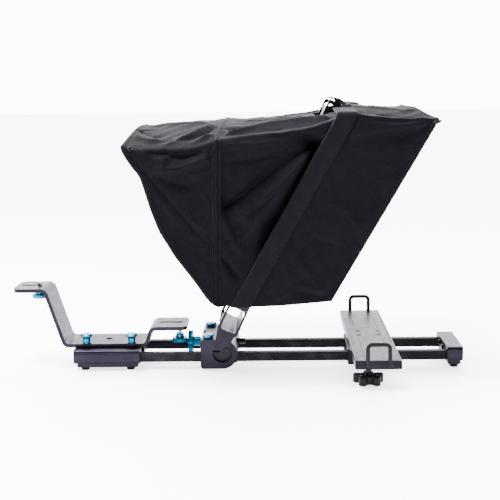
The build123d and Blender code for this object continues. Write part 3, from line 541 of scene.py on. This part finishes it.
def sag(points, pinned, frames=12, cap=3.5):
    """Runs the sheet as cloth between its pinned lines and returns how far each point moved."""
    piece = sheet_mesh("sag_test", points, bpy.data.materials["blackout_nylon"], thickness=0)
    group = piece.vertex_groups.new(name="pin")
    for i in np.flatnonzero(pinned.ravel() > 0.02):
        group.add([int(i)], float(pinned.ravel()[i]), "ADD")
    cloth = piece.modifiers.new("cloth", "CLOTH")
    settings = cloth.settings
    settings.quality, settings.mass = 6, 0.15
    settings.tension_stiffness = settings.compression_stiffness = 20
    settings.shear_stiffness, settings.bending_stiffness = 8, 0.6
    settings.vertex_group_mass = "pin"
    settings.effector_weights.gravity = 0.35
    cloth.collision_settings.use_collision = False
    scene = bpy.context.scene
    scene.frame_start, scene.frame_end = 1, frames
    cloth.point_cache.frame_start, cloth.point_cache.frame_end = 1, frames
    for number in range(1, frames + 1):
        scene.frame_set(number)
    shape = piece.evaluated_get(bpy.context.evaluated_depsgraph_get()).data
    moved = np.zeros(len(shape.vertices) * 3)
    shape.vertices.foreach_get("co", moved)
    moved = moved.reshape(points.shape) / MM - points
    bpy.data.objects.remove(piece)
    scene.frame_set(1)
    length = np.linalg.norm(moved, axis=-1, keepdims=True)
    return moved * np.minimum(1, cap / (length + 1e-6))


def resample(field, rows, cols):
    """Bilinear copy of a coarse grid on a finer one."""
    r = np.linspace(0, field.shape[0] - 1, rows)
    c = np.linspace(0, field.shape[1] - 1, cols)
    r0, c0 = np.minimum(r.astype(int), field.shape[0] - 2), np.minimum(c.astype(int), field.shape[1] - 2)
    fr, fc = (r - r0)[:, None, None], (c - c0)[None, :, None]
    f = field
    return ((1 - fr) * (1 - fc) * f[r0][:, c0] + fr * (1 - fc) * f[r0 + 1][:, c0]
            + (1 - fr) * fc * f[r0][:, c0 + 1] + fr * fc * f[r0 + 1][:, c0 + 1])


def at_run(rows, run, place):
    """The row of three numbers found at a distance along a line."""
    return np.array([np.interp(place, run, rows[:, k]) for k in range(3)])


def stitch_row(places, outward):
    """Small thread stitches along a line of points (mm); returns vertices and faces."""
    step = np.linalg.norm(np.diff(places, axis=0), axis=1)
    run = np.concatenate([[0], np.cumsum(step)])
    verts, faces = [], []
    for start in np.arange(STITCH_PITCH, run[-1] - STITCH_PITCH, STITCH_PITCH):
        ends = [at_run(places, run, s) for s in (start, start + STITCH_LENGTH)]
        out = at_run(outward, run, start)
        forward = ends[1] - ends[0]
        forward /= np.linalg.norm(forward) + 1e-9
        side = np.cross(forward, out)
        base = len(verts)
        for share, swell in ((0.0, 0.25), (0.2, 0.9), (0.5, 1.0), (0.8, 0.9), (1.0, 0.25)):
            centre = ends[0] + (ends[1] - ends[0]) * share + out * (0.1 + 0.25 * swell)
            for angle in range(5):
                a = angle * 2 * math.pi / 5
                verts.append(centre + THREAD_RADIUS * swell * (math.cos(a) * side + math.sin(a) * out))
        for ring in range(4):
            for k in range(5):
                a, b = base + ring * 5 + k, base + ring * 5 + (k + 1) % 5
                faces.append((a, b, b + 5, a + 5))
        faces.append(tuple(base + k for k in range(4, -1, -1)))
        faces.append(tuple(base + 20 + k for k in range(5)))
    return verts, faces


def mesh_piece(name, verts, faces, material):
    mesh = bpy.data.meshes.new(name)
    mesh.from_pydata([tuple(v * MM for v in p) for p in verts], [], faces)
    mesh.polygons.foreach_set("use_smooth", [True] * len(mesh.polygons))
    mesh.materials.append(material)
    piece = bpy.data.objects.new(name, mesh)
    bpy.context.scene.collection.objects.link(piece)
    return piece


# ---------------------------------------------------------------- hood pieces
def rear_points(u_count, side_count, top_count):
    seam = (SEAM_FOOT, (seam_x(TOP_SEAM_Z), TOP_SEAM_Z))
    return shell(MOUTH, seam, REAR_FOOT, REAR_PULL, u_count, side_count, top_count)


def shade_points(u_count, side_count, top_count):
    seam = (SEAM_FOOT, (seam_x(TOP_SEAM_Z), TOP_SEAM_Z))
    return shell(seam, FRONT, SHADE_FOOT, SHADE_PULL, u_count, side_count, top_count)


def shape_rear(points):
    points = smooth(points, 4)
    out = pucker(points, SIDE_FOLDS, ROOF_FOLDS)
    u = np.linspace(0, 1, points.shape[0])[:, None]
    hoop = np.abs(hoop_line(points))
    calm = soft_step((hoop - 2) / 14) * soft_step(u / 0.05) * soft_step((1 - u) / 0.03)
    out = (out + ripple(points, 75, 1.5)) * calm
    out += casing(hoop_line(points), CASING_HALF_WIDTH, 1.5)
    return points + normals(points) * out[..., None]


def shape_shade(points):
    points = smooth(points, 1)
    out = pucker(points, SHADE_SIDE_FOLDS, SHADE_ROOF_FOLDS)
    u = np.linspace(0, 1, points.shape[0])[:, None]
    calm = soft_step(u / 0.06) * soft_step((1 - u) / 0.05)
    out = (out + ripple(points, 90, 1.6)) * calm
    out += 0.7 * soft_step((u - 0.965) / 0.01) - 0.5 * np.exp(-((u - 0.962) / 0.006) ** 2)
    return points + normals(points) * out[..., None]


def edge_pins(shape, rows):
    """Pin weights: firm at both open edges and at the lines given as shares of the first axis."""
    u = np.linspace(0, 1, shape[0])[:, None] * np.ones(shape[1])
    weight = np.zeros(shape[:2])
    for row in rows:
        weight = np.maximum(weight, 1 - soft_step(np.abs(u - row) / 0.035))
    return weight


def with_sag(shape_function, maker, pins, fine, coarse):
    """Fine shape plus the movement of a coarser copy of it run as cloth."""
    points = shape_function(maker(*fine))
    rough = shape_function(maker(*coarse))
    moved = sag(rough, pins(rough))
    return points + resample(moved, points.shape[0], points.shape[1])


def rear_pins(points):
    weight = edge_pins(points.shape, (0.0, 1.0))
    return np.maximum(weight, 1 - soft_step((np.abs(hoop_line(points)) - 4) / 5))


def shade_pins(points):
    return edge_pins(points.shape, (0.0, 1.0))


def by_mast(middle):
    """Which face centres lie in the width and height of the mast's top."""
    return (np.abs(middle[..., 1]) < MAST_HALF) & (middle[..., 2] > MAST_LOW)


def build_hood(materials):
    fabric, binding, thread = materials["hood_fabric"], materials["binding"], materials["thread"]
    rear = with_sag(shape_rear, rear_points, rear_pins, (150, 112, 130), (56, 44, 50))
    middle = (rear[:-1, :-1] + rear[1:, 1:]) / 2
    keep = ~(by_mast(middle) & (middle[..., 0] > MAST_BACK))
    hood = sheet_mesh("rear_hood_cloth", rear, fabric, keep)
    shade = with_sag(shape_shade, shade_points, shade_pins, (110, 112, 130), (44, 44, 50))
    middle = (shade[:-1, :-1] + shade[1:, 1:]) / 2
    keep_shade = ~(by_mast(middle) & (middle[..., 0] < MAST_FRONT))
    front = sheet_mesh("front_shade_cloth", shade, fabric, keep_shade)
    for piece, node in ((hood, "rear_hood"), (front, "front_shade")):
        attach(piece, "mast")
        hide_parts(node)
    build_bands(rear, shade, binding, thread)
    build_stitching(rear, shade, thread)
    return rear


def ring_of(points, u_share):
    row = u_share * (points.shape[0] - 1)
    low = min(int(row), points.shape[0] - 2)
    return points[low] * (1 - (row - low)) + points[low + 1] * (row - low)


def build_bands(rear, shade, binding, thread):
    """Wide bands over the seam between hood and shade, up both sides to the mast, and the mouth's hem."""
    seam = (ring_of(rear, 1.0) + ring_of(shade, 0.0)) / 2
    seam_out = normals(np.stack([ring_of(rear, 0.99), seam, ring_of(shade, 0.01)]))[1]
    girth = len(seam)
    for name, order in (("seam_band_near", np.arange(girth)), ("seam_band_far", np.arange(girth)[::-1])):
        line, out = seam[order], seam_out[order]
        stop = int(np.argmax(np.abs(line[:, 1]) < MAST_HALF + 3))
        line, out = line[:stop], out[:stop]
        across = np.linspace(-1, 1, 23)
        rise = (1.5 + 0.5 * (1 - across ** 2) - 1.2 * soft_step((np.abs(across) - 0.93) / 0.07))
        width = BAND_HALF_WIDTH + 0.8 * np.linspace(0, 1, stop)
        place = line[:, None] + np.array((1.0, 0, 0)) * (across[None, :, None] * width[:, None, None])
        place = place + out[:, None] * rise[None, :, None]
        band = sheet_mesh(name, place, binding, thickness=0.8)
        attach(band, "mast")
        edge = place[:, 0] + out * 0.3
        verts, faces = tube_points(edge, [0.75] * len(edge), 8)
        piping = mesh_piece(name.replace("band", "piping"), verts, faces, thread)
        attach(piping, "mast")
    mouth = ring_of(rear, 0.0)
    inward = ring_of(rear, 0.03) - mouth
    inward /= np.linalg.norm(inward, axis=1, keepdims=True)
    out = normals(rear[:4])[0]
    turns = np.linspace(0, 2 * math.pi, 11)
    place = (mouth[:, None] + inward[:, None] * (HEM_INSET + HEM_HALF_WIDTH * np.cos(turns))[None, :, None]
             + out[:, None] * (HEM_HALF_THICKNESS * np.sin(turns))[None, :, None])
    hem = sheet_mesh("mouth_hem", place, binding, thickness=0)
    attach(hem, "mast")


def build_stitching(rear, shade, thread):
    """Rows of stitches beside the hoop casing, the seam bands and the shade's front edge."""
    verts, faces = [], []

    def sew(line, out):
        new_verts, new_faces = stitch_row(line, out)
        base = len(verts)
        verts.extend(new_verts)
        faces.extend(tuple(base + i for i in face) for face in new_faces)

    out_rear, out_shade = normals(rear), normals(shade)
    offset = hoop_line(rear)
    for gap in (-CASING_HALF_WIDTH - 1.0, CASING_HALF_WIDTH + 1.0):
        nearest = np.argmin(np.abs(offset - gap), axis=0)
        column = np.arange(rear.shape[1])
        sew(rear[nearest, column], out_rear[nearest, column])
    u = rear.shape[0]
    for row in (0.955, 0.985):
        sew(shade[round(row * shade.shape[0])], out_shade[round(row * shade.shape[0])])
    seam, out = ring_of(rear, 0.93), out_rear[round(0.93 * u)]
    stop = int(np.argmax(np.abs(seam[:, 1]) < MAST_HALF + 3))
    for way in (slice(0, stop), slice(len(seam) - stop, len(seam))):
        sew(seam[way] + np.array((2.2, 0, 0)) + out[way] * 1.2, out[way])
    piece = mesh_piece("hood_stitching", verts, faces, thread)
    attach(piece, "mast")


def build_flap(materials):
    """Fabric cap over the mast's top bar, down to the shade's roof, with a skirt at each side."""
    low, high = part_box("top_strap")
    top_z = high.z / MM
    profile = ((low.x / MM + 1.5, top_z - 0.1), (140, top_z - 0.6), (147, top_z - 2.8),
               (155, top_z - 9.0), (164, top_z - 19.5), (171, top_z - 22.0))
    line = along(profile, np.linspace(0, 1, 40))
    x, z = line[:, :1], line[:, 1:]
    across = np.linspace(-1, 1, 81)[None, :]
    skirt = np.clip((np.abs(across) - 0.8) / 0.2, 0, 1)
    flare = 9.0 * skirt * soft_step((x - 143) / 6)
    y = np.sign(across) * (np.clip(np.abs(across) / 0.8, 0, 1) * 54.4 + flare)
    landing = np.maximum(roof(np.maximum(x, 152.0), y) + 1.6, 350.0)
    drop = soft_step((x - 142) / 6) * skirt ** 0.8
    height_now = np.maximum(z + 0.6 * np.sin(across * 8), np.where(x > 152, landing, 0))
    points = np.stack([x + 0 * y, y, height_now * (1 - drop) + np.minimum(landing, height_now) * drop], -1)
    points[..., 2] -= 0.5 * skirt
    flap = sheet_mesh("mast_flap", points, materials["binding"], thickness=1.0)
    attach(flap, "mast")
    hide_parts("top_strap")


def tube_points(path, radii, sides=16):
    """Round tube through a path (mm) with a radius at each point; returns vertices and faces."""
    path = np.array(path, float)
    ahead = np.gradient(path, axis=0)
    ahead /= np.linalg.norm(ahead, axis=1, keepdims=True)
    first = np.cross(ahead, (0.1, 1.0, 0.05))
    first /= np.linalg.norm(first, axis=1, keepdims=True)
    second = np.cross(ahead, first)
    angle = np.linspace(0, 2 * math.pi, sides, endpoint=False)
    ring = (np.cos(angle)[None, :, None] * first[:, None] + np.sin(angle)[None, :, None] * second[:, None])
    verts = (path[:, None] + ring * np.array(radii)[:, None, None]).reshape(-1, 3)
    faces = []
    for here in range(0, (len(path) - 1) * sides, sides):
        for k in range(sides):
            following = (k + 1) % sides
            faces.append((here + k, here + following, here + sides + following, here + sides + k))
    faces += [tuple(range(sides))[::-1], tuple((len(path) - 1) * sides + k for k in range(sides))]
    return [tuple(v) for v in verts], faces


def build_trim(materials, rear):
    """Rod tips at the shade's corners and the eyelets at the hood's mouth."""
    for label, side in (("near", -1), ("far", 1)):
        path = [(256.0 + 1.6 * k, side * 149.2, 347.6 + 0.42 * k) for k in range(8)]
        radii = [1.6, 2.3, 2.5, 2.5, 2.4, 2.1, 1.5, 0.5]
        verts, faces = tube_points(path, radii)
        tip = mesh_piece(f"shade_tip_{label}", verts, faces, materials["black_plastic"])
        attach(tip, "mast")
        circle = np.linspace(0, 2 * math.pi, 33)
        away = np.linalg.norm(rear - np.array((EYELET_X, side * HALF, EYELET_Z)), axis=-1)
        row, column = np.unravel_index(np.argmin(away), away.shape)
        out = normals(rear)[row, column]
        first = np.cross(out, (0.0, 0.0, 1.0))
        first /= np.linalg.norm(first)
        centre, second = rear[row, column] + out * 0.3, np.cross(out, first)
        ring = [centre + EYELET_RADIUS * (math.cos(a) * first + math.sin(a) * second) for a in circle]
        verts, faces = tube_points(ring, [0.8] * len(ring), 10)
        eyelet = mesh_piece(f"eyelet_{label}", verts, faces, materials["black_screw"])
        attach(eyelet, "mast")


# ---------------------------------------------------------------- making
make_camera()
make_stage()
library = build_materials()
dress_cad(library)
rear_cloth = build_hood(library)
build_flap(library)
build_trim(library, rear_cloth)
